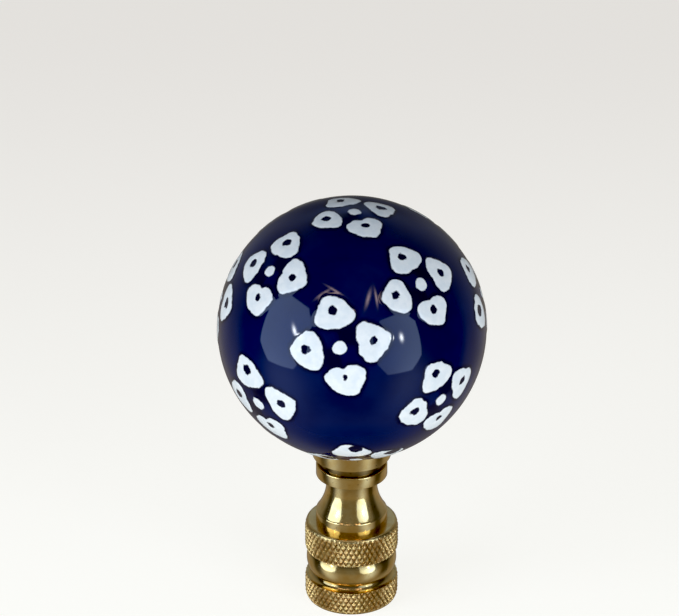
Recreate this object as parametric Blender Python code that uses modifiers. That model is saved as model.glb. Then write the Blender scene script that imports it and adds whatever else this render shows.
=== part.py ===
"""Lamp shade finial: a glazed porcelain ball on a turned and knurled brass base.

Metres, +Z up. The origin is on the axis, in the plane of the underside, where the
finial stands on a table and where it screws down onto a lamp harp.
"""
import math

import bmesh
import bpy

MM = 0.001

# Porcelain ball, a little flattened
BALL_DIAMETER = 35.5 * MM
BALL_HEIGHT = 34.8 * MM
BALL_SEGMENTS = 40

# Bar that the base is turned from, and its diamond knurl
BAR_DIAMETER = 12.7 * MM
KNURL_PITCH = 0.77 * MM
KNURL_ANGLE = math.radians(30.0)
KNURL_DEPTH = 0.25 * MM

# Heights of the base's turned stages, from the underside up
FOOT_CHAMFER = 0.25 * MM
FOOT_GRIP_HEIGHT = 3.30 * MM
GROOVE_HEIGHT = 0.80 * MM
BEAD_HEIGHT = 3.40 * MM
TOP_GRIP_HEIGHT = 3.55 * MM
LEDGE_HEIGHT = 0.50 * MM
BELL_WALL_HEIGHT = 1.50 * MM
FLARE_HEIGHT = 3.45 * MM
NECK_HEIGHT = 2.16 * MM
COLLAR_HEIGHT = 1.65 * MM
WAIST_HEIGHT = 1.29 * MM
SEAT_RING_HEIGHT = 1.90 * MM

# How far the bead and the groove lie below the bar's surface
BEAD_INSET = 0.23 * MM
GROOVE_DEPTH = 0.75 * MM

# The bell and the stages above it
BELL_DIAMETER = 9.70 * MM
BELL_EDGE_RADIUS = 0.60 * MM
NECK_DIAMETER = 6.95 * MM
COLLAR_DIAMETER = 9.62 * MM
WAIST_DEPTH = 0.41 * MM
SEAT_RING_DIAMETER = 10.56 * MM

# Dished seat: the layer of cement between the brass and the ball
SEAT_GAP = 0.30 * MM

# Blind socket for the harp's stud, cleared to the thread's major diameter
STUD_DIAMETER = 6.35 * MM
STUD_CLEARANCE = 0.05 * MM
SOCKET_DEPTH = 9.50 * MM
SOCKET_CHAMFER = 0.35 * MM
DRILL_POINT_ANGLE = math.radians(118.0)

# Facets that stand for each round stretch of the base's profile
SEAT_STEPS = 3
FLARE_STEPS = 3
BELL_EDGE_STEPS = 2
LEDGE_STEPS = 2
BEAD_STEPS = 4
GROOVE_STEPS = 2


def clear_scene():
    for old in list(bpy.data.objects):
        bpy.data.objects.remove(old, do_unlink=True)


def new_collection(name):
    collection = bpy.data.collections.new(name)
    bpy.context.scene.collection.children.link(collection)
    return collection


def finish(name, colour, metallic, roughness):
    material = bpy.data.materials.new(name)
    material.use_nodes = True
    shader = material.node_tree.nodes["Principled BSDF"]
    shader.inputs["Base Color"].default_value = (*colour, 1.0)
    shader.inputs["Metallic"].default_value = metallic
    shader.inputs["Roughness"].default_value = roughness
    material.diffuse_color = (*colour, 1.0)
    return material


def arc(centre, radii, start, end, steps):
    """Points (r, z) along a round or oval stretch of profile, both ends included."""
    points = []
    for i in range(steps + 1):
        angle = start + (end - start) * i / steps
        points.append((centre[0] + radii[0] * math.cos(angle),
                       centre[1] + radii[1] * math.sin(angle)))
    return points


def diamonds_around():
    """Even number of knurl diamonds that fits round the bar."""
    return 2 * round(math.pi * BAR_DIAMETER / KNURL_PITCH / 2)


def knurl_rows(height):
    """Rows of half diamonds in a knurled band of this height."""
    half_diamond = KNURL_PITCH / 2 / math.tan(KNURL_ANGLE)
    return max(2, round(height / half_diamond))


def stage_levels():
    """Height of the foot of each turned stage above the underside."""
    levels = {}
    height = 0.0
    stages = (("foot_grip", FOOT_GRIP_HEIGHT), ("groove", GROOVE_HEIGHT),
              ("bead", BEAD_HEIGHT), ("top_grip", TOP_GRIP_HEIGHT),
              ("ledge", LEDGE_HEIGHT), ("bell_wall", BELL_WALL_HEIGHT),
              ("flare", FLARE_HEIGHT), ("neck", NECK_HEIGHT),
              ("collar", COLLAR_HEIGHT),
              ("waist", WAIST_HEIGHT), ("seat_ring", SEAT_RING_HEIGHT))
    for stage, stage_height in stages:
        levels[stage] = height
        height += stage_height
    levels["seat_rim"] = height
    return levels


def dish_radii():
    """Half the dish's width and height: the ball's, and the cement round it."""
    return BALL_DIAMETER / 2 + SEAT_GAP, BALL_HEIGHT / 2 + SEAT_GAP


def ball_centre():
    """Height of the ball's centre, from the rim of the dish that it sits in."""
    across, up = dish_radii()
    drop = up * math.sqrt(1 - (SEAT_RING_DIAMETER / 2 / across)**2)
    return stage_levels()["seat_rim"] + drop


def knurled_bands():
    """Bottom, top and row count of the two gripping bands."""
    levels = stage_levels()
    spans = ((levels["foot_grip"] + FOOT_CHAMFER, levels["groove"]),
             (levels["top_grip"], levels["ledge"]))
    return [(low, high, knurl_rows(high - low)) for low, high in spans]


def seat_profile():
    """Dish under the ball, from the axis out to the seat ring's rim."""
    half_angle = math.asin(SEAT_RING_DIAMETER / 2 / dish_radii()[0])
    down = -math.pi / 2
    return arc((0.0, ball_centre()), dish_radii(), down, down + half_angle, SEAT_STEPS)


def rings_profile():
    """Seat ring, waist and collar, down to the top of the neck."""
    levels = stage_levels()
    seat = SEAT_RING_DIAMETER / 2
    collar = COLLAR_DIAMETER / 2
    waist = collar - WAIST_DEPTH
    return [(seat, levels["seat_ring"]),
            (waist, levels["seat_ring"]), (waist, levels["waist"]),
            (collar, levels["waist"]), (collar, levels["collar"]),
            (NECK_DIAMETER / 2, levels["collar"])]


def bell_profile():
    """Hollow flare below the neck, rolled over into the bell's upright wall."""
    levels = stage_levels()
    neck = NECK_DIAMETER / 2
    bell = BELL_DIAMETER / 2
    sweep = 2 * math.atan2(bell - neck, FLARE_HEIGHT)
    roll = BELL_EDGE_RADIUS
    hollow = FLARE_HEIGHT / math.sin(sweep) - roll
    flare = arc((neck + hollow, levels["neck"]), (hollow, hollow),
                math.pi, math.pi + sweep, FLARE_STEPS)
    edge = arc((bell - roll, levels["flare"]), (roll, roll), sweep, 0.0, BELL_EDGE_STEPS)
    return flare + edge[1:] + [(bell, levels["bell_wall"])]


def ledge_profile():
    """Flat ledge round the bell, its corner rounded down to the upper grip's top edge."""
    centre = (BAR_DIAMETER / 2 - LEDGE_HEIGHT, stage_levels()["ledge"])
    corner = arc(centre, (LEDGE_HEIGHT, LEDGE_HEIGHT), math.pi / 2, 0.0, LEDGE_STEPS)
    return corner[:-1]


def grip_profile(low, high, rows):
    """Plain bar surface, with one ring of points for each row of the knurl."""
    bar = BAR_DIAMETER / 2
    return [(bar, high + (low - high) * i / rows) for i in range(rows + 1)]


def bead_profile():
    """Barrel-shaped smooth bead between the two grips, its ends as deep as the groove."""
    levels = stage_levels()
    half = BEAD_HEIGHT / 2
    crown = GROOVE_DEPTH - BEAD_INSET
    radius = (half**2 + crown**2) / (2 * crown)
    sweep = math.asin(half / radius)
    centre = (BAR_DIAMETER / 2 - BEAD_INSET - radius, levels["bead"] + half)
    return arc(centre, (radius, radius), sweep, -sweep, BEAD_STEPS)


def groove_profile():
    """Hollow from the bead's lower end out to the lower grip's top edge."""
    centre = (BAR_DIAMETER / 2, stage_levels()["bead"])
    hollow = arc(centre, (GROOVE_DEPTH, GROOVE_HEIGHT), math.pi, 1.5 * math.pi, GROOVE_STEPS)
    return hollow[1:-1]


def socket_profile():
    """Underside, lead-in chamfer, bore and drill point, up to the axis."""
    bore = STUD_DIAMETER / 2 + STUD_CLEARANCE
    point = bore / math.tan(DRILL_POINT_ANGLE / 2)
    return [(BAR_DIAMETER / 2 - FOOT_CHAMFER, 0.0),
            (bore + SOCKET_CHAMFER, 0.0), (bore, SOCKET_CHAMFER),
            (bore, SOCKET_DEPTH), (0.0, SOCKET_DEPTH + point)]


def base_profile():
    """The whole turned profile: down the outside, then up the socket."""
    foot_grip, top_grip = knurled_bands()
    return (seat_profile() + rings_profile() + bell_profile() + ledge_profile()
            + grip_profile(*top_grip) + bead_profile() + groove_profile()
            + grip_profile(*foot_grip) + socket_profile())


def turned_mesh(name, profile, steps):
    """Closed mesh of a profile, turned about Z with a Screw modifier."""
    outline = bpy.data.meshes.new(name + "_outline")
    edges = [(i, i + 1) for i in range(len(profile) - 1)]
    outline.from_pydata([(r, 0.0, z) for r, z in profile], edges, [])
    blank = bpy.data.objects.new(name + "_outline", outline)
    bpy.context.scene.collection.objects.link(blank)

    screw = blank.modifiers.new("Turn", "SCREW")
    screw.axis = "Z"
    screw.angle = 2 * math.pi
    screw.steps = steps
    screw.render_steps = steps
    screw.use_merge_vertices = True
    screw.merge_threshold = 0.001 * MM

    evaluated = blank.evaluated_get(bpy.context.evaluated_depsgraph_get())
    mesh = bpy.data.meshes.new_from_object(evaluated)
    mesh.name = name
    bpy.data.objects.remove(blank, do_unlink=True)
    bpy.data.meshes.remove(outline)
    return mesh


def cut_knurl(mesh, columns):
    """Press the diamond knurl: every second point of the grips goes in by the depth.

    The faces are then parted between the low points, so that each high point
    becomes the tip of a four-sided diamond.
    """
    near = 0.01 * MM
    bar = BAR_DIAMETER / 2
    bm = bmesh.new()
    bm.from_mesh(mesh)
    valleys = []
    for low, high, rows in knurled_bands():
        for vert in bm.verts:
            x, y, z = vert.co
            radius = math.hypot(x, y)
            if radius < bar - near or not low - near < z < high + near:
                continue
            row = round((z - low) / (high - low) * rows)
            column = round(math.atan2(y, x) / (2 * math.pi) * columns)
            if (row + column) % 2:
                vert.co.x -= x / radius * KNURL_DEPTH
                vert.co.y -= y / radius * KNURL_DEPTH
                valleys.append(vert)
    bmesh.ops.connect_verts(bm, verts=valleys)
    bmesh.ops.triangulate(bm, faces=[face for face in bm.faces if len(face.verts) > 3])
    bm.to_mesh(mesh)
    bm.free()


def place(mesh, name, material, collection, sharp_angle):
    mesh.materials.clear()
    mesh.materials.append(material)
    mesh.shade_smooth()
    mesh.set_sharp_from_angle(angle=math.radians(sharp_angle))
    piece = bpy.data.objects.new(name, mesh)
    collection.objects.link(piece)
    return piece


def make_base(collection):
    """Base turned from one brass bar, with its two knurled grips."""
    columns = 2 * diamonds_around()
    mesh = turned_mesh("threaded_base", base_profile(), columns)
    cut_knurl(mesh, columns)
    brass = finish("Brass", (0.58, 0.42, 0.17), 1.0, 0.25)
    return place(mesh, "threaded_base", brass, collection, 25.0)


def make_ball(collection):
    """Porcelain ball, cemented in the base's dish."""
    bm = bmesh.new()
    bmesh.ops.create_uvsphere(bm, u_segments=BALL_SEGMENTS, v_segments=BALL_SEGMENTS // 2,
                              radius=BALL_DIAMETER / 2)
    bmesh.ops.scale(bm, vec=(1.0, 1.0, BALL_HEIGHT / BALL_DIAMETER), verts=bm.verts)
    mesh = bpy.data.meshes.new("porcelain_ball")
    bm.to_mesh(mesh)
    bm.free()
    glaze = finish("Cobalt glaze", (0.003, 0.010, 0.090), 0.0, 0.08)
    ball = place(mesh, "porcelain_ball", glaze, collection, 60.0)
    ball.location.z = ball_centre()
    return ball


clear_scene()
finial = new_collection("lamp_shade_finial")
make_base(finial)
make_ball(finial)
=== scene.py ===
"""Lamp shade finial: the looks of its brass base and its porcelain ball.

Metres, +Z up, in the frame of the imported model.
"""
import math
import random

import bpy
import numpy as np
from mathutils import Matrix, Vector


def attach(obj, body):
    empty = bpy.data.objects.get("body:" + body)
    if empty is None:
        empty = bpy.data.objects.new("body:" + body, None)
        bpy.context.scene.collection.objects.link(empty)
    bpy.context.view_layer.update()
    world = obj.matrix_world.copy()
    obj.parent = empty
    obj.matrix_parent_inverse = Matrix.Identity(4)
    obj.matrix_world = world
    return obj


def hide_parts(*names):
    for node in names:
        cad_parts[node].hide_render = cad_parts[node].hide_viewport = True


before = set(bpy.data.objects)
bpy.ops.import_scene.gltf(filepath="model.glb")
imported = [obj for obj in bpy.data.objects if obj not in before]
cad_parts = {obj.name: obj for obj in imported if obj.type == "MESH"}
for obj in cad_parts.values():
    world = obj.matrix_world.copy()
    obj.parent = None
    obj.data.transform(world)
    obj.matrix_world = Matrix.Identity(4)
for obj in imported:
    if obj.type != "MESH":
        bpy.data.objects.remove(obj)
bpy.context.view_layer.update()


# Base. One piece of brass, turned from half-inch bar: rings, neck, bell and bead are cut
# with form tools and polished, the two grips are rolled with a diamond knurl, and the
# socket is drilled and tapped 1/4-27 from below for the harp's stud.
MM = 0.001
MICRON = 0.001 * MM

BAR_RADIUS = 6.35 * MM
FOOT_CHAMFER = 0.25 * MM
GROOVE_FOOT = 3.30 * MM
BEAD_FOOT = 4.10 * MM
TOP_GRIP_FOOT = 7.50 * MM
LEDGE_FOOT = 11.05 * MM
BELL_FOOT = 11.55 * MM
FLARE_FOOT = 13.05 * MM
NECK_FOOT = 16.50 * MM
COLLAR_FOOT = 18.66 * MM
COLLAR_TOP = 20.31 * MM
SEAT_RING_FOOT = 21.60 * MM

GROOVE_RADIUS = 5.60 * MM
COVE_RADIUS = 5.28 * MM
COVE_TOP = 4.00 * MM
BEAD_RADIUS = 6.12 * MM
BELL_RADIUS = 4.86 * MM
BELL_EDGE_RADIUS = 4.82 * MM
BELL_LIP = 0.30 * MM
FLARE_START = math.radians(8.0)
LEDGE_FLAT_RADIUS = 5.80 * MM
NECK_RADIUS = 3.475 * MM
COLLAR_RADIUS = 4.81 * MM
WAIST_RADIUS = 4.40 * MM
SEAT_RING_RADIUS = 5.28 * MM

# Ball that the dish is formed to, a little flattened, and the cement between them
BALL_RADIUS = 17.75 * MM
BALL_HALF_HEIGHT = 17.40 * MM
BALL_CENTRE = 40.426 * MM
CEMENT_LINE = 0.03 * MM

BROKEN_EDGE = 0.07 * MM
POLISHED_EDGE = 0.16 * MM
GRIP_CHAMFER = 0.14 * MM
SHARP_EDGE = math.radians(24.0)

DIAMONDS_AROUND = 52
STEPS_PER_DIAMOND = 8
GRIP_HALF_DIAMONDS = 5
KNURL_DEPTH = 0.29 * MM
KNURL_FLAT = 0.10
KNURL_SHALLOWEST = 0.72
KNURL_PATCHES = 9.0
KNURL_PATCH_HEIGHT = 5.0 * MM
RIM_KNURL_SHARE = 0.85
KNURL_FINISH_FROM = 0.9
NEAR_FURROW = 0.03

SOCKET_RADIUS = 3.225 * MM
SOCKET_CHAMFER = 0.35 * MM
SOCKET_DEPTH = 9.50 * MM
DRILL_POINT_ANGLE = math.radians(118.0)
THREAD_PITCH = 25.4 / 27 * MM
THREAD_DEPTH = 0.55 * MM
THREAD_ROWS_PER_TURN = 7
THREAD_RUN_IN = 0.8 * MM

BRASS_COLOUR = (0.93, 0.69, 0.29, 1.0)
BRASS_SHADE = (0.86, 0.58, 0.20, 1.0)
# The same brass made oranger and darker for the knurl: painted reflection of light bounced
# between its diamonds
KNURL_BOUNCE_COLOUR = (0.90, 0.56, 0.20, 1.0)
# Dark brown for painted shade in the base's corners, grip rim, socket and knurl furrows, and for
# its nicks
SHADE_AND_PIT_COLOUR = (0.10, 0.055, 0.018, 1.0)
# Painted shade on the grip's rounded rim and all through the socket
RIM_PAINTED_SHADE = 0.25
SOCKET_PAINTED_SHADE = 0.3
# Painted shade deepest in the knurl's furrows
FURROW_SHADE = 0.7
PIT_DIRT = 0.7

# Brass's finish: roughness where clean and where scuffed, and patterns in cells a metre
TURNED_ROUGHNESS = (0.13, 0.20)
ROUGHER_BESIDE_KNURL = 0.22
KNURLED_ROUGHNESS = (0.46, 0.56)
TOOL_RINGS = 7000.0
PITS = 2200.0
PIT_EDGE = (0.73, 0.76)
TURNED_MARKS = (700.0, 2600.0)
KNURLED_MARKS = (900.0, 3000.0)
TURNED_RELIEF = 5 * MICRON
KNURLED_RELIEF = 12 * MICRON


def put(tree, kind, *values, **settings):
    """Add a node. Each value is a constant or a socket for its next input, or None."""
    made = tree.nodes.new(kind)
    for name, value in settings.items():
        setattr(made, name, value)
    for socket, value in zip(made.inputs, values):
        if isinstance(value, bpy.types.NodeSocket):
            tree.links.new(value, socket)
        elif value is not None:
            socket.default_value = value
    return made


def calc(tree, operation, *values):
    """One step of arithmetic on numbers."""
    return put(tree, "ShaderNodeMath", *values, operation=operation).outputs[0]


def ramp(tree, value, low, high, to_low=0.0, to_high=1.0):
    """Value eased from low..high to to_low..to_high, held at both ends."""
    return put(tree, "ShaderNodeMapRange", value, low, high, to_low, to_high,
               interpolation_type="SMOOTHSTEP").outputs[0]


def blend_colour(tree, share, first, second):
    """First colour where share is 0, second where it is 1."""
    mix = tree.nodes.new("ShaderNodeMix")
    mix.data_type = "RGBA"
    factor, start, end = (next(s for s in mix.inputs if s.identifier == name)
                          for name in ("Factor_Float", "A_Color", "B_Color"))
    for socket, value in ((factor, share), (start, first), (end, second)):
        if isinstance(value, bpy.types.NodeSocket):
            tree.links.new(value, socket)
        else:
            socket.default_value = value
    return next(s for s in mix.outputs if s.identifier == "Result_Color")


def noise(tree, vector, scale, detail=2.0, roughness=0.5, **settings):
    """Soft noise from 0 to 1, at this many cells a metre."""
    made = put(tree, "ShaderNodeTexNoise", **settings)
    tree.links.new(vector, made.inputs["W" if made.noise_dimensions == "1D" else "Vector"])
    made.inputs["Scale"].default_value = scale
    made.inputs["Detail"].default_value = detail
    made.inputs["Roughness"].default_value = roughness
    return made.outputs[0]


def new_group(name, kind, inputs, outputs):
    """Empty node group, with its named inputs and outputs."""
    group = bpy.data.node_groups.new(name, kind)
    for title, socket_type, start in inputs:
        socket = group.interface.new_socket(title, in_out="INPUT", socket_type=socket_type)
        if start is not None:
            socket.default_value = start
    for title, socket_type in outputs:
        group.interface.new_socket(title, in_out="OUTPUT", socket_type=socket_type)
    return group


def make_marks_group():
    """Handling marks: a slow mottle and a fine scuff, for any hard bright surface."""
    group = new_group("Handling marks", "ShaderNodeTree",
                      [("Vector", "NodeSocketVector", None),
                       ("Mottle Scale", "NodeSocketFloat", 300.0),
                       ("Scuff Scale", "NodeSocketFloat", 2500.0)],
                      [("Mottle", "NodeSocketFloat"), ("Scuff", "NodeSocketFloat")])
    given = put(group, "NodeGroupInput")
    result = put(group, "NodeGroupOutput")
    mottle = noise(group, given.outputs["Vector"], 300.0, detail=3.0)
    group.links.new(given.outputs["Mottle Scale"], mottle.node.inputs["Scale"])
    scuff = noise(group, given.outputs["Vector"], 2500.0, detail=4.0, roughness=0.7)
    group.links.new(given.outputs["Scuff Scale"], scuff.node.inputs["Scale"])
    group.links.new(ramp(group, mottle, 0.32, 0.68), result.inputs["Mottle"])
    group.links.new(ramp(group, scuff, 0.50, 0.72), result.inputs["Scuff"])
    return group


handling_marks = make_marks_group()


def use_marks(tree, vector, mottle_scale, scuff_scale):
    """Handling marks placed in a material, as (mottle, scuff)."""
    marks = tree.nodes.new("ShaderNodeGroup")
    marks.node_tree = handling_marks
    tree.links.new(vector, marks.inputs["Vector"])
    marks.inputs["Mottle Scale"].default_value = mottle_scale
    marks.inputs["Scuff Scale"].default_value = scuff_scale
    return marks.outputs["Mottle"], marks.outputs["Scuff"]


def new_material(name):
    """New material, its node tree, its shader and the place on the piece, in metres."""
    material = bpy.data.materials.new(name)
    material.use_nodes = True
    tree = material.node_tree
    place = put(tree, "ShaderNodeTexCoord").outputs["Object"]
    return material, tree, tree.nodes["Principled BSDF"], place


def add_bump(tree, shader, height, strength, distance):
    """Relief too fine for the mesh: its height field, and how far that reaches."""
    bump = put(tree, "ShaderNodeBump")
    bump.inputs["Strength"].default_value = strength
    bump.inputs["Distance"].default_value = distance
    tree.links.new(height, bump.inputs["Height"])
    tree.links.new(bump.outputs[0], shader.inputs["Normal"])


def make_painted_shade_group():
    """Brass with its mottle, gone dark where painted shade is laid on, for either finish."""
    group = new_group("Brass with painted shade", "ShaderNodeTree",
                      [("Bright", "NodeSocketColor", None),
                       ("Shade", "NodeSocketColor", None),
                       ("Dark", "NodeSocketColor", None),
                       ("Mottle", "NodeSocketFloat", 0.0),
                       ("Painted Shade", "NodeSocketFloat", 0.0)],
                      [("Colour", "NodeSocketColor")])
    given = put(group, "NodeGroupInput").outputs
    clean = blend_colour(group, given["Mottle"], given["Bright"], given["Shade"])
    put(group, "NodeGroupOutput", blend_colour(group, given["Painted Shade"], clean, given["Dark"]))
    return group


brass_with_painted_shade = make_painted_shade_group()


def use_painted_shade(tree, mottle, bright):
    """Brass with painted shade placed in a material, dark where the painted_shade attribute says
    so.
    """
    painted_shade = put(tree, "ShaderNodeAttribute", attribute_name="painted_shade").outputs["Fac"]
    made = put(tree, "ShaderNodeGroup", bright, BRASS_SHADE, SHADE_AND_PIT_COLOUR, mottle, painted_shade,
               node_tree=brass_with_painted_shade)
    return made.outputs["Colour"]


def make_turned_brass():
    """Polished brass, with the faint rings of the cutting tool left in it."""
    material, tree, shader, place = new_material("Turned brass")
    mottle, scuff = use_marks(tree, place, *TURNED_MARKS)
    height = put(tree, "ShaderNodeSeparateXYZ", place).outputs[2]
    rings = noise(tree, height, TOOL_RINGS, noise_dimensions="1D")
    pits = ramp(tree, noise(tree, place, PITS, detail=1.0), *PIT_EDGE)
    # Painted shade from the profile's corners, rim and socket darkens the brass here, and the
    # nicks go dark
    colour = blend_colour(tree, calc(tree, "MULTIPLY", pits, PIT_DIRT),
                          use_painted_shade(tree, mottle, BRASS_COLOUR), SHADE_AND_PIT_COLOUR)
    tree.links.new(colour, shader.inputs["Base Color"])
    beside_knurl = put(tree, "ShaderNodeAttribute", attribute_name="knurled").outputs["Fac"]
    roughness = calc(tree, "MULTIPLY_ADD", beside_knurl, ROUGHER_BESIDE_KNURL,
                     ramp(tree, scuff, 0.0, 1.0, *TURNED_ROUGHNESS))
    tree.links.new(roughness, shader.inputs["Roughness"])
    shader.inputs["Metallic"].default_value = 1.0
    shader.inputs["Anisotropic"].default_value = 0.4
    shader.inputs["Anisotropic Rotation"].default_value = 0.25
    add_bump(tree, shader, calc(tree, "ADD", rings, mottle), 0.2, TURNED_RELIEF)
    return material


def make_knurled_brass():
    """Brass rolled into diamonds: worn crests, painted shade in the furrows, and a colour
    deepened by painted reflection.
    """
    material, tree, shader, place = new_material("Knurled brass")
    mottle, scuff = use_marks(tree, place, *KNURLED_MARKS)
    # Knurl colour deepened as painted reflection, darkened further by painted shade in the
    # furrows
    tree.links.new(use_painted_shade(tree, mottle, KNURL_BOUNCE_COLOUR), shader.inputs["Base Color"])
    tree.links.new(ramp(tree, scuff, 0.0, 1.0, *KNURLED_ROUGHNESS),
                   shader.inputs["Roughness"])
    shader.inputs["Metallic"].default_value = 1.0
    add_bump(tree, shader, mottle, 0.35, KNURLED_RELIEF)
    return material


def arc(centre, radii, start, end, steps):
    """Points (r, z) along a round or oval stretch, its angles in radians."""
    angles = [start + (end - start) * i / steps for i in range(steps + 1)]
    return [(centre[0] + radii[0] * math.cos(angle), centre[1] + radii[1] * math.sin(angle))
            for angle in angles]


def dish_stretch():
    """Dish that the ball sits in, from the axis out to the seat ring's rim."""
    across, up = BALL_RADIUS + CEMENT_LINE, BALL_HALF_HEIGHT + CEMENT_LINE
    down = -math.pi / 2
    rim = math.asin((SEAT_RING_RADIUS - BROKEN_EDGE) / across)
    return arc((0.0, BALL_CENTRE), (across, up), down, down + rim, 10)


def rings_stretch():
    """Seat ring, waist and collar, down to the neck, with their edges polished round."""
    rim = dish_stretch()[-1][1] - BROKEN_EDGE
    seat, collar, cut, soft = SEAT_RING_RADIUS, COLLAR_RADIUS, BROKEN_EDGE, POLISHED_EDGE
    return ([(seat, rim)]
            + arc((seat - cut, SEAT_RING_FOOT + cut), (cut, cut), 0.0, -math.pi / 2, 4)
            + [(WAIST_RADIUS, SEAT_RING_FOOT), (WAIST_RADIUS, COLLAR_TOP)]
            + arc((collar - soft, COLLAR_TOP - soft), (soft, soft), math.pi / 2, 0.0, 5)
            + arc((collar - cut, COLLAR_FOOT + cut), (cut, cut), 0.0, -math.pi / 2, 4)
            + [(NECK_RADIUS, COLLAR_FOOT)])


def bell_stretch():
    """Hollow flare from the neck, rolled over into the bell's slightly spreading wall."""
    drop = NECK_FOOT - FLARE_FOOT
    start = FLARE_START
    sweep = 2 * math.atan2(BELL_EDGE_RADIUS - NECK_RADIUS, drop) - start
    hollow = (drop - BELL_LIP * math.sin(sweep)) / (math.sin(sweep) - math.sin(start))
    centre = (NECK_RADIUS + hollow * math.cos(start), NECK_FOOT + hollow * math.sin(start))
    flare = arc(centre, (hollow, hollow), math.pi + start, math.pi + sweep, 16)
    lean = math.atan2(BELL_RADIUS - BELL_EDGE_RADIUS, FLARE_FOOT - BELL_FOOT)
    lip = arc((BELL_EDGE_RADIUS - BELL_LIP, FLARE_FOOT), (BELL_LIP, BELL_LIP), sweep, lean, 8)
    return flare + lip[1:] + [(BELL_RADIUS, BELL_FOOT)]


def bead_stretch():
    """Barrel-shaped bead and the hollow below it."""
    half = (TOP_GRIP_FOOT - BEAD_FOOT) / 2
    crown = BEAD_RADIUS - GROOVE_RADIUS
    radius = (half**2 + crown**2) / (2 * crown)
    sweep = math.asin(half / radius)
    bead = arc((BEAD_RADIUS - radius, BEAD_FOOT + half), (radius, radius), sweep, -sweep, 16)
    edge = BAR_RADIUS - GRIP_CHAMFER
    hollow = arc((edge, COVE_TOP), (edge - COVE_RADIUS, COVE_TOP - GROOVE_FOOT),
                 math.pi, 1.5 * math.pi, 10)
    return bead + hollow[:-1]


def ledge_stretch():
    """Flat ledge round the bell's foot, rounded down to the upper grip's edge."""
    edge = BAR_RADIUS - GRIP_CHAMFER
    return arc((LEDGE_FLAT_RADIUS, LEDGE_FOOT),
               (edge - LEDGE_FLAT_RADIUS, BELL_FOOT - LEDGE_FOOT), math.pi / 2, 0.0, 10)[:-1]


def grip_rows(high, low, above=()):
    """Rows of a knurled grip as (r, z, knurl row), chamfered, with any rounding above it."""
    steps = GRIP_HALF_DIAMONDS * STEPS_PER_DIAMOND // 2
    rise = (high - low) / steps
    edge = BAR_RADIUS - GRIP_CHAMFER
    rows = [(r, z, (high - z) / rise / STEPS_PER_DIAMOND) for r, z in above]
    for i in range(steps + 1):
        z = high - rise * i
        to_edge = min(high - z, z - low)
        rows.append((min(BAR_RADIUS, edge + to_edge), z, i / STEPS_PER_DIAMOND))
    return rows


def socket_stretch():
    """Tapped wall of the socket as (r, z, share of the thread's full depth)."""
    rows = round((SOCKET_DEPTH - SOCKET_CHAMFER) / THREAD_PITCH * THREAD_ROWS_PER_TURN)
    wall = []
    for i in range(rows + 1):
        z = SOCKET_CHAMFER + (SOCKET_DEPTH - SOCKET_CHAMFER) * i / rows
        share = min(1.0, (z - SOCKET_CHAMFER) / THREAD_RUN_IN, (SOCKET_DEPTH - z) / THREAD_RUN_IN)
        wall.append((SOCKET_RADIUS, z, share))
    return wall


def painted_shade_at(r, z):
    """Painted shade on the brass: darkest in the tight corners, where shade falls."""
    # Each corner's radius and height, how dark it is, and how far that reaches, in mm
    corners = ((WAIST_RADIUS, COLLAR_TOP, 0.9, 0.35), (WAIST_RADIUS, SEAT_RING_FOOT, 0.5, 0.5),
               (NECK_RADIUS, COLLAR_FOOT, 0.5, 0.8), (GROOVE_RADIUS, TOP_GRIP_FOOT, 1.0, 0.9),
               (COVE_RADIUS, COVE_TOP, 0.8, 0.7), (BELL_RADIUS, BELL_FOOT, 0.2, 0.2))
    return max(share * max(0.0, 1.0 - math.hypot(r - corner_r, z - corner_z) / (reach * MM))
               for corner_r, corner_z, share, reach in corners)


def base_profile():
    """Down the outside, then up the socket: (r, z, knurled, row, threaded, painted shade)."""
    def plain(points):
        return [(r, z, 0.0, 0.0, 0.0, painted_shade_at(r, z)) for r, z in points]

    def knurled(rows):
        # Rows of the grip's rounded rim above the ledge's foot get painted shade
        return [(r, z, 1.0, row, 0.0, 0.0) if z <= LEDGE_FOOT
                else (r, z, RIM_KNURL_SHARE, row, 0.0, RIM_PAINTED_SHADE)
                for r, z, row in rows]

    point_top = SOCKET_DEPTH + SOCKET_RADIUS / math.tan(DRILL_POINT_ANGLE / 2)
    ledge = ledge_stretch()
    smooth = [point for point in ledge if point[0] < BAR_RADIUS - KNURL_DEPTH - BROKEN_EDGE]
    return (plain(dish_stretch() + rings_stretch() + bell_stretch() + smooth)
            + knurled(grip_rows(LEDGE_FOOT, TOP_GRIP_FOOT, ledge[len(smooth):]))
            + plain(bead_stretch())
            + knurled(grip_rows(GROOVE_FOOT, FOOT_CHAMFER))
            + plain([(BAR_RADIUS - FOOT_CHAMFER, 0.0), (SOCKET_RADIUS + SOCKET_CHAMFER, 0.0)])
            # The socket's tapped wall gets painted shade throughout
            + [(r, z, 0.0, 0.0, share, SOCKET_PAINTED_SHADE) for r, z, share in socket_stretch()]
            + plain([(0.0, point_top)]))


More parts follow.
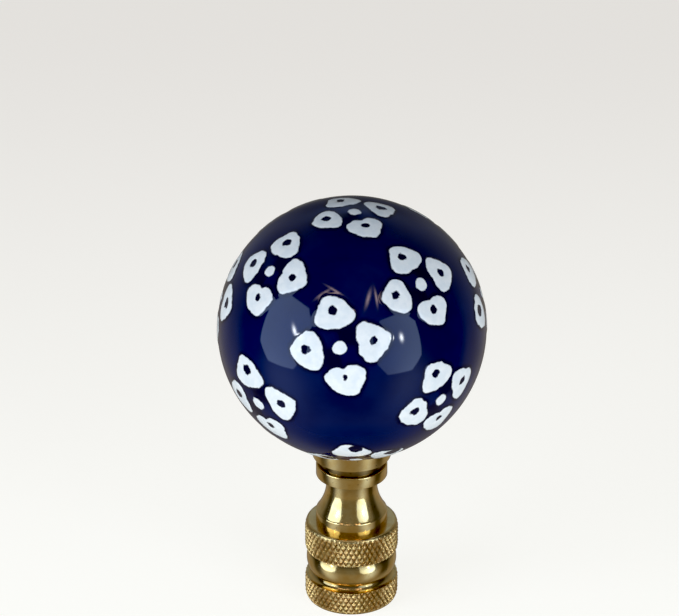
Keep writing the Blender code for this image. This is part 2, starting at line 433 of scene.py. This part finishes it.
def make_lathe_tree():
    """Turns the profile's points about Z, presses the knurl and cuts the thread."""
    tree = new_group("Turn, knurl and tap", "GeometryNodeTree",
                     [("Profile", "NodeSocketGeometry", None),
                      ("Columns", "NodeSocketInt", 100),
                      ("Diamonds", "NodeSocketInt", 10),
                      ("Bar Radius", "NodeSocketFloat", 0.01),
                      ("Knurl Depth", "NodeSocketFloat", 0.0),
                      ("Knurl Flat", "NodeSocketFloat", 0.0),
                      ("Thread Pitch", "NodeSocketFloat", 0.001),
                      ("Thread Depth", "NodeSocketFloat", 0.0),
                      ("Plain Finish", "NodeSocketMaterial", None),
                      ("Knurl Finish", "NodeSocketMaterial", None)],
                     [("Part", "NodeSocketGeometry")])
    given = put(tree, "NodeGroupInput").outputs
    rows = put(tree, "GeometryNodeAttributeDomainSize", given["Profile"]).outputs["Point Count"]
    grid = put(tree, "GeometryNodeMeshGrid", 1.0, 1.0,
               calc(tree, "ADD", given["Columns"], 1.0), rows).outputs["Mesh"]

    index = put(tree, "GeometryNodeInputIndex").outputs[0]
    column = calc(tree, "FLOOR", calc(tree, "DIVIDE", index, rows))
    row = calc(tree, "SUBTRACT", index, calc(tree, "MULTIPLY", column, rows))
    turn = calc(tree, "DIVIDE", column, given["Columns"])

    def from_profile(field, data_type):
        return put(tree, "GeometryNodeSampleIndex", given["Profile"], field, row,
                   data_type=data_type).outputs[0]

    def attribute(name):
        return put(tree, "GeometryNodeInputNamedAttribute", name,
                   data_type="FLOAT").outputs[0]

    point = from_profile(put(tree, "GeometryNodeInputPosition").outputs[0], "FLOAT_VECTOR")
    radius, _, height = put(tree, "ShaderNodeSeparateXYZ", point).outputs
    knurled = from_profile(attribute("knurled"), "FLOAT")
    knurl_row = from_profile(attribute("knurl_row"), "FLOAT")
    threaded = from_profile(attribute("threaded"), "FLOAT")
    painted_shade = from_profile(attribute("painted_shade"), "FLOAT")

    def ridge(across):
        doubled = calc(tree, "MULTIPLY_ADD", calc(tree, "FRACT", across), 2.0, -1.0)
        return calc(tree, "ABSOLUTE", doubled)

    around = calc(tree, "MULTIPLY", turn, given["Diamonds"])
    left_hand = calc(tree, "ADD", around, knurl_row)
    right_hand = calc(tree, "SUBTRACT", around, knurl_row)
    crest = calc(tree, "MINIMUM", ridge(left_hand), ridge(right_hand))
    crest = calc(tree, "DIVIDE", crest, calc(tree, "SUBTRACT", 1.0, given["Knurl Flat"]))
    recess = calc(tree, "SUBTRACT", 1.0, calc(tree, "MINIMUM", crest, 1.0))
    angle = calc(tree, "MULTIPLY", turn, 2 * math.pi)
    around_bar = put(tree, "ShaderNodeCombineXYZ", calc(tree, "COSINE", angle),
                     calc(tree, "SINE", angle),
                     calc(tree, "MULTIPLY", height, 1 / KNURL_PATCH_HEIGHT)).outputs[0]
    uneven = ramp(tree, noise(tree, around_bar, KNURL_PATCHES, detail=1.0), 0.3, 0.7,
                  KNURL_SHALLOWEST, 1.0)
    pressed = calc(tree, "SUBTRACT", given["Bar Radius"],
                   calc(tree, "MULTIPLY", calc(tree, "MULTIPLY", recess, uneven),
                        given["Knurl Depth"]))
    pressed = calc(tree, "MINIMUM", pressed, radius)
    outside = put(tree, "ShaderNodeMix", knurled, None, radius, pressed,
                  data_type="FLOAT").outputs[0]

    phase = calc(tree, "SUBTRACT", calc(tree, "DIVIDE", height, given["Thread Pitch"]), turn)
    wave = calc(tree, "COSINE", calc(tree, "MULTIPLY", phase, 2 * math.pi))
    ridge_height = calc(tree, "MULTIPLY", calc(tree, "MULTIPLY_ADD", wave, 0.5, 0.5),
                        calc(tree, "MULTIPLY", threaded, given["Thread Depth"]))
    cut = calc(tree, "SUBTRACT", outside, ridge_height)

    place = put(tree, "ShaderNodeCombineXYZ",
                calc(tree, "MULTIPLY", cut, calc(tree, "COSINE", angle)),
                calc(tree, "MULTIPLY", cut, calc(tree, "SINE", angle)), height).outputs[0]

    part = grid
    # Painted shade in the knurl's furrows, darker the deeper they are pressed
    depth = calc(tree, "DIVIDE", calc(tree, "SUBTRACT", radius, outside), given["Knurl Depth"])
    furrow_shade = ramp(tree, depth, 0.35, 1.0, 0.0, FURROW_SHADE)
    for name, field in (("painted_shade", calc(tree, "MAXIMUM", painted_shade, furrow_shade)),
                        ("knurled", knurled), ("furrow", left_hand)):
        part = put(tree, "GeometryNodeStoreNamedAttribute", part, None, name, field,
                   data_type="FLOAT", domain="POINT").outputs[0]
    part = put(tree, "GeometryNodeSetPosition", part, None, place).outputs[0]

    in_knurl = calc(tree, "GREATER_THAN", attribute("knurled"), KNURL_FINISH_FROM)
    off_furrow = calc(tree, "SUBTRACT", calc(tree, "FRACT", attribute("furrow")), 0.5)
    on_left_hand = calc(tree, "LESS_THAN", calc(tree, "ABSOLUTE", off_furrow), NEAR_FURROW)
    for diagonal, chosen in (("FIXED_ALTERNATE", on_left_hand), ("FIXED", 1.0)):
        part = put(tree, "GeometryNodeTriangulate", part,
                   calc(tree, "MULTIPLY", in_knurl, chosen), quad_method=diagonal).outputs[0]

    part = put(tree, "GeometryNodeMergeByDistance", part, None, MICRON).outputs[0]
    part = put(tree, "GeometryNodeFlipFaces", part).outputs[0]
    part = put(tree, "GeometryNodeSetShadeSmooth", part, None, True).outputs[0]
    part = put(tree, "GeometryNodeRealizeInstances", part).outputs[0]
    part = put(tree, "GeometryNodeSetMaterial", part, None, given["Plain Finish"]).outputs[0]
    part = put(tree, "GeometryNodeSetMaterial", part, in_knurl, given["Knurl Finish"]).outputs[0]
    put(tree, "NodeGroupOutput", part)
    return tree


def grow(blank, tree, values):
    """Run a Geometry Nodes tree on an object and return its result as a plain mesh."""
    modifier = blank.modifiers.new(tree.name, "NODES")
    modifier.node_group = tree
    for item in tree.interface.items_tree:
        if item.in_out == "INPUT" and item.name in values:
            modifier[item.identifier] = values[item.name]
    evaluated = blank.evaluated_get(bpy.context.evaluated_depsgraph_get())
    mesh = bpy.data.meshes.new_from_object(evaluated)
    blank.modifiers.remove(modifier)
    bpy.data.objects.remove(blank, do_unlink=True)
    return mesh


def show(name, mesh):
    """Object with this mesh, linked to the scene."""
    piece = bpy.data.objects.new(name, mesh)
    bpy.context.scene.collection.objects.link(piece)
    return piece


def make_base():
    """Brass base: its profile's points, run through the lathe tree."""
    profile = base_profile()
    outline = bpy.data.meshes.new("base_profile")
    outline.from_pydata([(r, 0.0, z) for r, z, *_ in profile], [], [])
    for name, values in zip(("knurled", "knurl_row", "threaded", "painted_shade"),
                            list(zip(*profile))[2:]):
        outline.attributes.new(name, "FLOAT", "POINT").data.foreach_set("value", values)
    mesh = grow(show("base_profile", outline), make_lathe_tree(),
                {"Columns": DIAMONDS_AROUND * STEPS_PER_DIAMOND, "Diamonds": DIAMONDS_AROUND,
                 "Bar Radius": BAR_RADIUS, "Knurl Depth": KNURL_DEPTH,
                 "Knurl Flat": KNURL_FLAT, "Thread Pitch": THREAD_PITCH,
                 "Thread Depth": THREAD_DEPTH, "Plain Finish": make_turned_brass(),
                 "Knurl Finish": make_knurled_brass()})
    mesh.set_sharp_from_angle(angle=SHARP_EDGE)
    return show("brass_base", mesh)


base = make_base()
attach(base, "root")
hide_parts("threaded_base")


# Ball. Slip-cast porcelain, painted cobalt blue round four-petalled dot flowers, then
# glazed. The white petals stand a little proud of the blue under the clear glaze, and
# the ball is cemented in the base's dish.
BALL_DIVISIONS = 124
PETAL_RELIEF = 0.07 * MM
RELIEF_EDGE = 0.7

# Flowers as longitude from the front, latitude, turn (degrees), size and size of the eyes
FLOWERS = ((-5.2, 18.5, 0.0, 1.02, 1.0), (89.5, 17.5, 0.0, 0.98, 1.1),
           (-90.0, 15.0, 0.0, 1.0, 1.1), (178.0, 18.0, 3.0, 1.0, 1.0),
           (-54.0, 43.0, -1.0, 0.94, 1.0), (40.5, 40.6, -6.0, 0.93, 1.05),
           (131.0, 41.0, 2.0, 0.96, 1.1), (-140.0, 41.0, -3.0, 0.96, 1.0),
           (-45.2, -16.5, 2.0, 1.02, 1.1), (41.3, -12.7, 3.0, 0.97, 1.1),
           (132.0, -14.0, -2.0, 1.0, 1.0), (-135.0, -15.0, 1.0, 0.98, 1.2),
           (2.9, -54.0, 0.0, 1.0, 1.9), (93.0, -53.0, -2.0, 0.98, 1.3),
           (183.0, -53.0, 3.0, 0.97, 1.6), (-87.0, -53.0, 1.0, 1.0, 1.4),
           (12.6, 85.5, 0.0, 0.90, 1.1))

# Petals: bearing from the centre dot, reach, tip turn, tip, left and right lobe, notch,
# and the eye's place and radius. Lengths on the painted surface are in mm from here on.
PETALS = ((102.0, 4.25, 18.0, 0.20, 0.30, 0.30, 0.10, (-0.2, 0.45), 0.62),
          (14.0, 4.10, 0.0, 0.20, 0.36, 0.30, 0.18, (0.15, 0.10), 0.55),
          (-170.0, 4.20, -10.0, 0.10, 0.30, 0.22, 0.12, (-0.2, 0.2), 0.66),
          (-80.0, 4.15, 20.0, 0.16, 0.28, 0.28, 0.28, (-0.1, 0.25), 0.50))
PETAL_SIZE = 2.06
PETAL_BRUSH_ANGLE = 108.0
TIP_WIDTH = 24.0
LOBE_WIDTH = 29.0
NOTCH_WIDTH = 20.0
DOT_RADIUS = 0.92
EYE_DRIFT = (0.8, 0.8)

# How far a hand varies: a petal's bearing and lean in degrees, and its reach and size,
# the dots and the eyes as shares
BEARING_VARIES = (-2.0, 2.0)
LEAN_VARIES = (-6.0, 6.0)
PETAL_VARIES = (0.97, 1.03)
DOT_VARIES = (0.85, 1.05)
EYE_VARIES = (0.85, 1.15)

OUTLINE_POINTS = 72
FLOWER_REACH = 8.5
FAR_FROM_PAINT = 3.0
PAINT_EDGE = 0.09
OUTLINE_WIDTH = 0.42
OUTLINE_EDGE = 0.32
FIELD_EDGE = 0.45

COBALT = (0.0030, 0.0092, 0.066, 1.0)
COBALT_DEEP = (0.0012, 0.0042, 0.046, 1.0)
OUTLINE_BLUE = (0.0006, 0.0014, 0.022, 1.0)
PETAL_WHITE = (0.80, 0.86, 0.90, 1.0)
PETAL_SHADE = (0.62, 0.72, 0.80, 1.0)
GLAZE_IOR = 1.46
GLAZE_ROUGHNESS = (0.035, 0.07)
GLAZE_MARKS = (900.0, 5000.0)
BRUSH_WANDER = 1100.0
WASH_PATCHES = 110.0
WASH_EDGE = (0.35, 0.65)
GLAZE_RIPPLE = 420.0
GLAZE_RELIEF = 12 * MICRON


def swell(angle, centre, width):
    """Soft swelling of a brush stroke's outline, angles in degrees."""
    away = (angle - centre + 180.0) % 360.0 - 180.0
    return math.exp(-(away / width)**2)


def petal_outline(form, rng):
    """Outline of one petal in its flower's own plane, in mm, and its eye's centre."""
    bearing, reach, tip_turn, tip, left_lobe, right_lobe, notch, eye, _ = form
    bearing += rng.uniform(*BEARING_VARIES)
    reach *= rng.uniform(*PETAL_VARIES)
    size = PETAL_SIZE * rng.uniform(*PETAL_VARIES)
    lean = rng.uniform(*LEAN_VARIES)
    centre = Vector((reach * math.cos(math.radians(bearing)),
                     reach * math.sin(math.radians(bearing))))
    points = []
    for i in range(OUTLINE_POINTS):
        angle = 360.0 * i / OUTLINE_POINTS
        radius = size * (1.0 + tip * swell(angle, tip_turn + lean, TIP_WIDTH)
                         + left_lobe * swell(angle, PETAL_BRUSH_ANGLE + lean, LOBE_WIDTH)
                         + right_lobe * swell(angle, lean - PETAL_BRUSH_ANGLE, LOBE_WIDTH)
                         - notch * swell(angle, 180.0, NOTCH_WIDTH))
        towards = math.radians(bearing + angle)
        points.append(centre + radius * Vector((math.cos(towards), math.sin(towards))))
    return points, centre + Vector(eye)


def edge_distance(points, outline):
    """Signed distance of points to a closed outline, negative inside, in its units."""
    start = np.array(outline)
    end = np.roll(start, -1, axis=0)
    along = end - start
    apart = points[:, None, :] - start[None]
    share = np.clip((apart * along).sum(2) / (along**2).sum(1), 0.0, 1.0)
    nearest = np.sqrt(((apart - share[..., None] * along)**2).sum(2)).min(1)
    rises = (start[:, 1] > points[:, 1:]) != (end[:, 1] > points[:, 1:])
    lean = np.where(along[:, 1] == 0.0, 1.0, along[:, 1])
    crossing = start[:, 0] + (points[:, 1:] - start[:, 1]) * along[:, 0] / lean
    inside = (rises & (points[:, :1] < crossing)).sum(1) % 2 == 1
    return np.where(inside, -nearest, nearest)


def flower_plane(outward, longitude, latitude, turn):
    """Each point of the ball in the flower's own plane, east and north, in mm."""
    lon, lat, spin = (math.radians(a) for a in (longitude, latitude, turn))
    middle = np.array([math.sin(lon) * math.cos(lat), -math.cos(lon) * math.cos(lat),
                       math.sin(lat)])
    east = np.array([math.cos(lon), math.sin(lon), 0.0])
    north = np.cross(middle, east)
    away = np.arccos(np.clip(outward @ middle, -1.0, 1.0))
    across, up = outward @ east, outward @ north
    stretch = away * BALL_RADIUS / MM / np.maximum(np.hypot(across, up), 1e-9)
    across, up = across * stretch, up * stretch
    return np.column_stack([across * math.cos(spin) + up * math.sin(spin),
                            up * math.cos(spin) - across * math.sin(spin)])


def paint_flowers(outward):
    """Distances in mm to the painted edges: petals, eyes, dots and flower fields."""
    edges = {name: np.full(len(outward), FAR_FROM_PAINT)
             for name in ("petal", "eye", "dot", "field")}
    rng = random.Random(11)
    for longitude, latitude, turn, size, eye_size in FLOWERS:
        plane = flower_plane(outward, longitude, latitude, turn) / size
        near = np.flatnonzero(np.hypot(*plane.T) < FLOWER_REACH)
        local = plane[near]
        found = {"dot": np.hypot(*local.T) - DOT_RADIUS * rng.uniform(*DOT_VARIES)}
        centres = []
        for form in PETALS:
            outline, eye = petal_outline(form, rng)
            centres.append(sum(outline, Vector((0.0, 0.0))) / len(outline))
            petal = edge_distance(local, outline)
            eye_radius = form[-1] * eye_size * rng.uniform(*EYE_VARIES)
            drift = np.array(EYE_DRIFT) * (eye_size - 1.0)
            hole = np.hypot(*(local - np.array(eye) - drift).T) - eye_radius
            found["petal"] = np.minimum(found.get("petal", FAR_FROM_PAINT), petal)
            found["eye"] = np.minimum(found.get("eye", FAR_FROM_PAINT), hole)
        found["field"] = edge_distance(local, centres)
        for name, distance in found.items():
            edges[name][near] = np.minimum(edges[name][near], distance * size)
    return edges


def make_glaze():
    """Painted porcelain under a clear gloss glaze."""
    material, tree, shader, place = new_material("Cobalt glaze")
    mottle, scuff = use_marks(tree, place, *GLAZE_MARKS)
    hand = calc(tree, "SUBTRACT", noise(tree, place, BRUSH_WANDER), 0.5)

    def painted(name, soft=PAINT_EDGE, grow_by=0.0, wobble=0.5):
        """1 inside this painted edge, 0 outside, with a hand's unsteady line."""
        edge = put(tree, "ShaderNodeAttribute", attribute_name=name).outputs["Fac"]
        edge = calc(tree, "MULTIPLY_ADD", hand, wobble, edge)
        return ramp(tree, edge, grow_by - soft, grow_by + soft, 1.0, 0.0)

    wash = ramp(tree, noise(tree, place, WASH_PATCHES, detail=4.0), *WASH_EDGE)
    colour = blend_colour(tree, wash, COBALT, COBALT_DEEP)
    colour = blend_colour(tree, painted("field", FIELD_EDGE), colour, OUTLINE_BLUE)
    colour = blend_colour(tree, painted("petal", OUTLINE_EDGE, OUTLINE_WIDTH), colour,
                          OUTLINE_BLUE)
    white = blend_colour(tree, calc(tree, "MULTIPLY", mottle, 0.5), PETAL_WHITE, PETAL_SHADE)
    colour = blend_colour(tree, painted("petal"), colour, white)
    colour = blend_colour(tree, painted("dot"), colour, white)
    colour = blend_colour(tree, painted("eye", wobble=1.0), colour, OUTLINE_BLUE)
    tree.links.new(colour, shader.inputs["Base Color"])
    tree.links.new(ramp(tree, scuff, 0.0, 1.0, *GLAZE_ROUGHNESS), shader.inputs["Roughness"])
    shader.inputs["IOR"].default_value = GLAZE_IOR
    add_bump(tree, shader, noise(tree, place, GLAZE_RIPPLE, detail=1.0), 0.35, GLAZE_RELIEF)
    return material


def make_sphere_tree():
    """Cube of even squares, blown up into a slightly flattened ball."""
    tree = new_group("Blow up a cube", "GeometryNodeTree",
                     [("Start", "NodeSocketGeometry", None),
                      ("Divisions", "NodeSocketInt", 10),
                      ("Radius", "NodeSocketFloat", 1.0),
                      ("Half Height", "NodeSocketFloat", 1.0),
                      ("Centre Height", "NodeSocketFloat", 0.0),
                      ("Finish", "NodeSocketMaterial", None)],
                     [("Ball", "NodeSocketGeometry")])
    given = put(tree, "NodeGroupInput").outputs
    count = calc(tree, "ADD", given["Divisions"], 1.0)
    cube = put(tree, "GeometryNodeMeshCube", (2.0, 2.0, 2.0), count, count, count).outputs["Mesh"]
    corner = put(tree, "ShaderNodeVectorMath",
                 put(tree, "GeometryNodeInputPosition").outputs[0],
                 (math.pi / 4,) * 3, operation="MULTIPLY").outputs[0]
    even = put(tree, "ShaderNodeVectorMath", corner, operation="TANGENT").outputs[0]
    unit = put(tree, "ShaderNodeVectorMath", even, operation="NORMALIZE").outputs[0]
    radii = put(tree, "ShaderNodeCombineXYZ", given["Radius"], given["Radius"],
                given["Half Height"]).outputs[0]
    centre = put(tree, "ShaderNodeCombineXYZ", 0.0, 0.0, given["Centre Height"]).outputs[0]
    place = put(tree, "ShaderNodeVectorMath", unit, radii, centre,
                operation="MULTIPLY_ADD").outputs[0]
    ball = put(tree, "GeometryNodeSetPosition", cube, None, place).outputs[0]
    ball = put(tree, "GeometryNodeSetShadeSmooth", ball, None, True).outputs[0]
    ball = put(tree, "GeometryNodeRealizeInstances", ball).outputs[0]
    ball = put(tree, "GeometryNodeSetMaterial", ball, None, given["Finish"]).outputs[0]
    put(tree, "NodeGroupOutput", ball)
    return tree


def make_ball():
    """Painted ball: the paint's edges kept as attributes, the white petals raised."""
    blank = show("ball_blank", bpy.data.meshes.new("ball_blank"))
    mesh = grow(blank, make_sphere_tree(),
                {"Divisions": BALL_DIVISIONS, "Radius": BALL_RADIUS,
                 "Half Height": BALL_HALF_HEIGHT, "Centre Height": BALL_CENTRE,
                 "Finish": make_glaze()})
    places = np.empty(len(mesh.vertices) * 3)
    mesh.vertices.foreach_get("co", places)
    places = places.reshape(-1, 3)
    centre = np.array([0.0, 0.0, BALL_CENTRE])
    radii = np.array([BALL_RADIUS, BALL_RADIUS, BALL_HALF_HEIGHT])
    outward = (places - centre) / radii
    edges = paint_flowers(outward)
    for name, distance in edges.items():
        layer = mesh.attributes.new(name, "FLOAT", "POINT")
        layer.data.foreach_set("value", distance.astype(np.float32))
    white = np.minimum(np.maximum(edges["petal"], -edges["eye"]), edges["dot"])
    share = np.clip(0.5 - white / RELIEF_EDGE, 0.0, 1.0)
    raised = share * share * (3.0 - 2.0 * share)
    places = centre + outward * (radii - PETAL_RELIEF * (1.0 - raised)[:, None])
    mesh.vertices.foreach_set("co", places.ravel())
    mesh.update()
    return show("glazed_ball", mesh)


ball = make_ball()
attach(ball, "root")
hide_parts("porcelain_ball")


# Studio. A glowing pale floor, a camera that looks down on the finial from the front, and
# two cool softboxes in front, left and right, with a bright lamp in each and a dim room,
# lit through high windows, round them.
CAMERA_PLACE = Vector((0.0, -340.398, 210.070)) * MM
CAMERA_AIM = Vector((-1.64, 0.0, 43.31)) * MM
SENSOR_WIDTH = 36.0
CAMERA_LENS = 153.45

FLOOR_SIZE = 6.0
FLOOR_COLOUR = (0.28, 0.28, 0.27, 1.0)
FLOOR_NEAR = (0.96, 0.96, 0.92, 1.0)
FLOOR_FAR = (0.76, 0.735, 0.70, 1.0)
FLOOR_GLOW = 0.88
FLOOR_FADE = (-50 * MM, 230 * MM)

SOFTBOX_GLOW = (1.50, 2.00, 3.00)
LAMP_GLOW = (30.0, 32.0, 34.0)
WINDOW_GLOW = (2.60, 1.90, 1.70)
LAMP_COLOUR = (0.92, 0.98, 1.08)
PALE = (0.78, 0.76, 0.72, 1.0)
ROOM_TINT = (1.0, 1.0, 1.0, 1.0)
FLOOR_TINT = (1.0, 0.90, 0.76, 1.0)
BLACK_POINT = 0.012

# Brightness of the room in reflections: at and above eye level, and towards the floor.
# It is unlit to the sides, dimmer behind and underneath, and lighter beside the middle
# of its back.
ROOM_LEVEL = 0.17
FLOOR_LEVEL = 0.25
UNLIT_AZIMUTH = math.radians(92.0)
UNLIT_SHARE = 0.75
DIMMER_BEHIND = 0.06
DIMMER_UNDERNEATH = 0.12
LIGHTER_BESIDE = 0.12

# Where each of these sets in and where it is full, as how far a direction of length 1
# goes up, back or sideways, and for the unlit sides' edges as an angle off their middle
TO_FLOOR = (-0.05, -0.40)
TO_UNDERNEATH = (-0.86, -0.99)
TO_BEHIND = (0.3, 0.8)
TO_BESIDE = (0.15, 0.45)
TO_UNLIT_HEIGHT = (-0.85, -0.45)
UNLIT_EDGES = (0.10, 0.42)

# Even fill on the surfaces, from below and from above, and where one turns to the other
FILL_BELOW = 0.50
FILL_ABOVE = 0.14
FILL_TURNS = (-0.2, 0.9)

# Softboxes in reflections: azimuth, elevation, half width and half height (degrees), and
# the level at the outer and the inner side
SOFTBOXES = ((-61.0, 11.5, 21.5, 26.5, 1.0, 0.8), (40.0, 8.5, 19.5, 24.0, 1.0, 0.5))
SOFTBOX_CORNER = 0.64

# Soft spots in reflections: azimuth, elevation (degrees), half width and half height
# (shares of the distance), slant, and level
BOUNCE_SPOTS = ((-60.0, -24.0, 0.30, 0.45, 0.0, 0.22), (48.0, -24.0, 0.26, 0.45, 0.0, 0.25),
                (180.0, 29.0, 0.32, 0.20, 0.0, 0.11))
LAMP_SPOTS = ((-52.0, 16.0, 0.030, 0.055, 0.6, 1.0), (43.5, 13.5, 0.026, 0.050, 0.0, 1.0))
WINDOW_SPOTS = ((-40.5, 52.5, 0.020, 0.085, -0.52, 2.8),
                (-21.5, 57.5, 0.036, 0.055, 2.47, 3.0),
                (21.5, 52.0, 0.024, 0.10, -0.55, 2.6), (32.0, 51.0, 0.014, 0.10, -0.25, 3.0))

# Lights on the surfaces: azimuth, elevation (degrees), distance, width, height (metres)
# and watts
LIGHTS = {"left_softbox": (-60.0, 11.0, 0.60, 0.44, 0.56, 2.7),
          "right_softbox": (40.0, 8.0, 0.60, 0.40, 0.46, 2.1),
          "overhead_softbox": (0.0, 89.0, 0.90, 1.2, 1.2, 0.5)}


def make_camera():
    """Long lens, aimed at the finial from the front and above."""
    data = bpy.data.cameras.new("Camera")
    data.sensor_width = SENSOR_WIDTH
    data.lens = CAMERA_LENS
    data.clip_start = 0.01
    camera = bpy.data.objects.new("Camera", data)
    bpy.context.scene.collection.objects.link(camera)
    camera.location = CAMERA_PLACE
    camera.rotation_euler = (CAMERA_AIM - CAMERA_PLACE).to_track_quat("-Z", "Y").to_euler()
    bpy.context.scene.camera = camera


def make_floor():
    """Wide pale floor that glows a little, less towards the back."""
    half = FLOOR_SIZE / 2
    mesh = bpy.data.meshes.new("floor")
    mesh.from_pydata([(-half, -half, 0.0), (half, -half, 0.0), (half, half, 0.0),
                      (-half, half, 0.0)], [], [(0, 1, 2, 3)])
    material, tree, shader, place = new_material("Pale floor")
    back = ramp(tree, put(tree, "ShaderNodeSeparateXYZ", place).outputs[1],
                *FLOOR_FADE)
    glow = blend_colour(tree, back, FLOOR_NEAR, FLOOR_FAR)
    shader.inputs["Base Color"].default_value = FLOOR_COLOUR
    shader.inputs["Roughness"].default_value = 0.9
    shader.inputs["Specular IOR Level"].default_value = 0.0
    tree.links.new(glow, shader.inputs["Emission Color"])
    shader.inputs["Emission Strength"].default_value = FLOOR_GLOW
    mesh.materials.append(material)
    floor = show("floor", mesh)
    floor.visible_glossy = False


def direction(azimuth, elevation):
    """Unit vector from the finial, azimuth from the front towards +X, in degrees."""
    az, el = math.radians(azimuth), math.radians(elevation)
    return Vector((math.sin(az) * math.cos(el), -math.cos(az) * math.cos(el), math.sin(el)))


def area_light(name, azimuth, elevation, distance, width, height, watts):
    """Light that faces the ball and shows in no reflection, nor to the camera."""
    data = bpy.data.lights.new(name, "AREA")
    data.shape = "RECTANGLE"
    data.size = width
    data.size_y = height
    data.energy = watts
    data.color = LAMP_COLOUR
    light = bpy.data.objects.new(name, data)
    bpy.context.scene.collection.objects.link(light)
    towards = direction(azimuth, elevation)
    light.location = towards * distance + Vector((0.0, 0.0, BALL_CENTRE))
    light.rotation_euler = towards.to_track_quat("Z", "Y").to_euler()
    light.visible_glossy = False
    light.visible_camera = False


def make_world():
    """Pale to the camera, an even fill for the surfaces, and a studio for reflections."""
    world = bpy.data.worlds.new("Studio")
    bpy.context.scene.world = world
    world.use_nodes = True
    tree = world.node_tree
    tree.nodes.clear()
    heading = put(tree, "ShaderNodeTexCoord").outputs["Generated"]
    x, y, z = put(tree, "ShaderNodeSeparateXYZ", heading).outputs

    def along(axis):
        """How far the direction goes along this axis."""
        return put(tree, "ShaderNodeVectorMath", heading, tuple(axis),
                   operation="DOT_PRODUCT").outputs["Value"]

    def panel_place(azimuth, elevation):
        """The direction's place on a panel that faces the finial, and in front or not."""
        forward = direction(azimuth, elevation)
        right = direction(azimuth + 90.0, 0.0)
        up = right.cross(forward)
        if up.z < 0:
            up = -up
        ahead = along(forward)
        return (calc(tree, "DIVIDE", along(right), ahead),
                calc(tree, "DIVIDE", along(up), ahead),
                calc(tree, "GREATER_THAN", ahead, 0.1))

    def total(panels):
        """Their levels added up."""
        level = panels[0]
        for panel in panels[1:]:
            level = calc(tree, "ADD", level, panel)
        return level

    def scaled(colour, level):
        """Colour times a level."""
        made = put(tree, "ShaderNodeVectorMath", colour, operation="SCALE")
        tree.links.new(level, made.inputs["Scale"])
        return made.outputs[0]

    def softbox(azimuth, elevation, half_width, half_height, outer, inner):
        """Panel with clipped corners, its level falling from its outer to its inner side."""
        across, up, front = panel_place(azimuth, elevation)
        half_width, half_height = (math.tan(math.radians(half))
                                   for half in (half_width, half_height))
        side = math.copysign(half_width, azimuth)
        a = calc(tree, "DIVIDE", calc(tree, "ABSOLUTE", across), half_width)
        b = calc(tree, "DIVIDE", calc(tree, "ABSOLUTE", up), half_height)
        corner = calc(tree, "MULTIPLY", calc(tree, "ADD", a, b), SOFTBOX_CORNER)
        edge = calc(tree, "MAXIMUM", calc(tree, "MAXIMUM", a, b), corner)
        level = ramp(tree, calc(tree, "DIVIDE", across, side), -1.0, 1.0, inner, outer)
        inside = ramp(tree, edge, 0.97, 1.03, 1.0, 0.0)
        return calc(tree, "MULTIPLY", calc(tree, "MULTIPLY", inside, level), front)

    def soft_spot(azimuth, elevation, half_width, half_height, slant, level):
        """Oval glow that fades outwards, its upper end leaning by the slant."""
        across, up, front = panel_place(azimuth, elevation)
        across = calc(tree, "ADD", across, calc(tree, "MULTIPLY", up, slant))
        a = calc(tree, "POWER", calc(tree, "DIVIDE", across, half_width), 2.0)
        b = calc(tree, "POWER", calc(tree, "DIVIDE", up, half_height), 2.0)
        glow = calc(tree, "POWER", math.e, calc(tree, "MULTIPLY", calc(tree, "ADD", a, b), -1.0))
        return calc(tree, "MULTIPLY", calc(tree, "MULTIPLY", glow, level), front)

    azimuth = calc(tree, "ARCTAN2", x, calc(tree, "MULTIPLY", y, -1.0))
    off_side = calc(tree, "SUBTRACT", calc(tree, "ABSOLUTE", azimuth), UNLIT_AZIMUTH)
    unlit = ramp(tree, calc(tree, "ABSOLUTE", off_side), *UNLIT_EDGES, UNLIT_SHARE, 0.0)
    unlit = calc(tree, "MULTIPLY", unlit, ramp(tree, z, *TO_UNLIT_HEIGHT))
    behind = ramp(tree, y, *TO_BEHIND)
    level = ramp(tree, z, *TO_FLOOR, ROOM_LEVEL, FLOOR_LEVEL)
    level = calc(tree, "SUBTRACT", level, calc(tree, "MULTIPLY", behind, DIMMER_BEHIND))
    level = calc(tree, "SUBTRACT", level, ramp(tree, z, *TO_UNDERNEATH, 0.0, DIMMER_UNDERNEATH))
    room = calc(tree, "MULTIPLY", level, calc(tree, "SUBTRACT", 1.0, unlit))
    beside = calc(tree, "MULTIPLY", ramp(tree, calc(tree, "ABSOLUTE", x), *TO_BESIDE),
                  calc(tree, "MULTIPLY", behind, LIGHTER_BESIDE))
    room = calc(tree, "ADD", room, beside)
    boxes = total([softbox(*box) for box in SOFTBOXES]
                  + [soft_spot(*spot) for spot in BOUNCE_SPOTS])
    lamps = total([soft_spot(*spot) for spot in LAMP_SPOTS])
    windows = total([soft_spot(*spot) for spot in WINDOW_SPOTS])

    path = put(tree, "ShaderNodeLightPath").outputs
    tint = blend_colour(tree, ramp(tree, z, *TO_FLOOR), ROOM_TINT, FLOOR_TINT)
    mirrored = scaled(tint, room)
    for colour, level in ((SOFTBOX_GLOW, boxes), (LAMP_GLOW, lamps), (WINDOW_GLOW, windows)):
        mirrored = put(tree, "ShaderNodeVectorMath", scaled(colour, level), mirrored,
                       operation="ADD").outputs[0]
    fill = ramp(tree, z, *FILL_TURNS, FILL_BELOW, FILL_ABOVE)
    seen = blend_colour(tree, path["Is Glossy Ray"], fill, mirrored)
    seen = blend_colour(tree, path["Is Camera Ray"], seen, PALE)
    background = put(tree, "ShaderNodeBackground", seen, 1.0).outputs[0]
    put(tree, "ShaderNodeOutputWorld", background)


make_camera()
make_floor()
make_world()
for light, values in LIGHTS.items():
    area_light(light, *values)

view = bpy.context.scene.view_settings
view.view_transform = "Standard"
view.use_curve_mapping = True
view.curve_mapping.black_level = (BLACK_POINT,) * 3
view.curve_mapping.update()
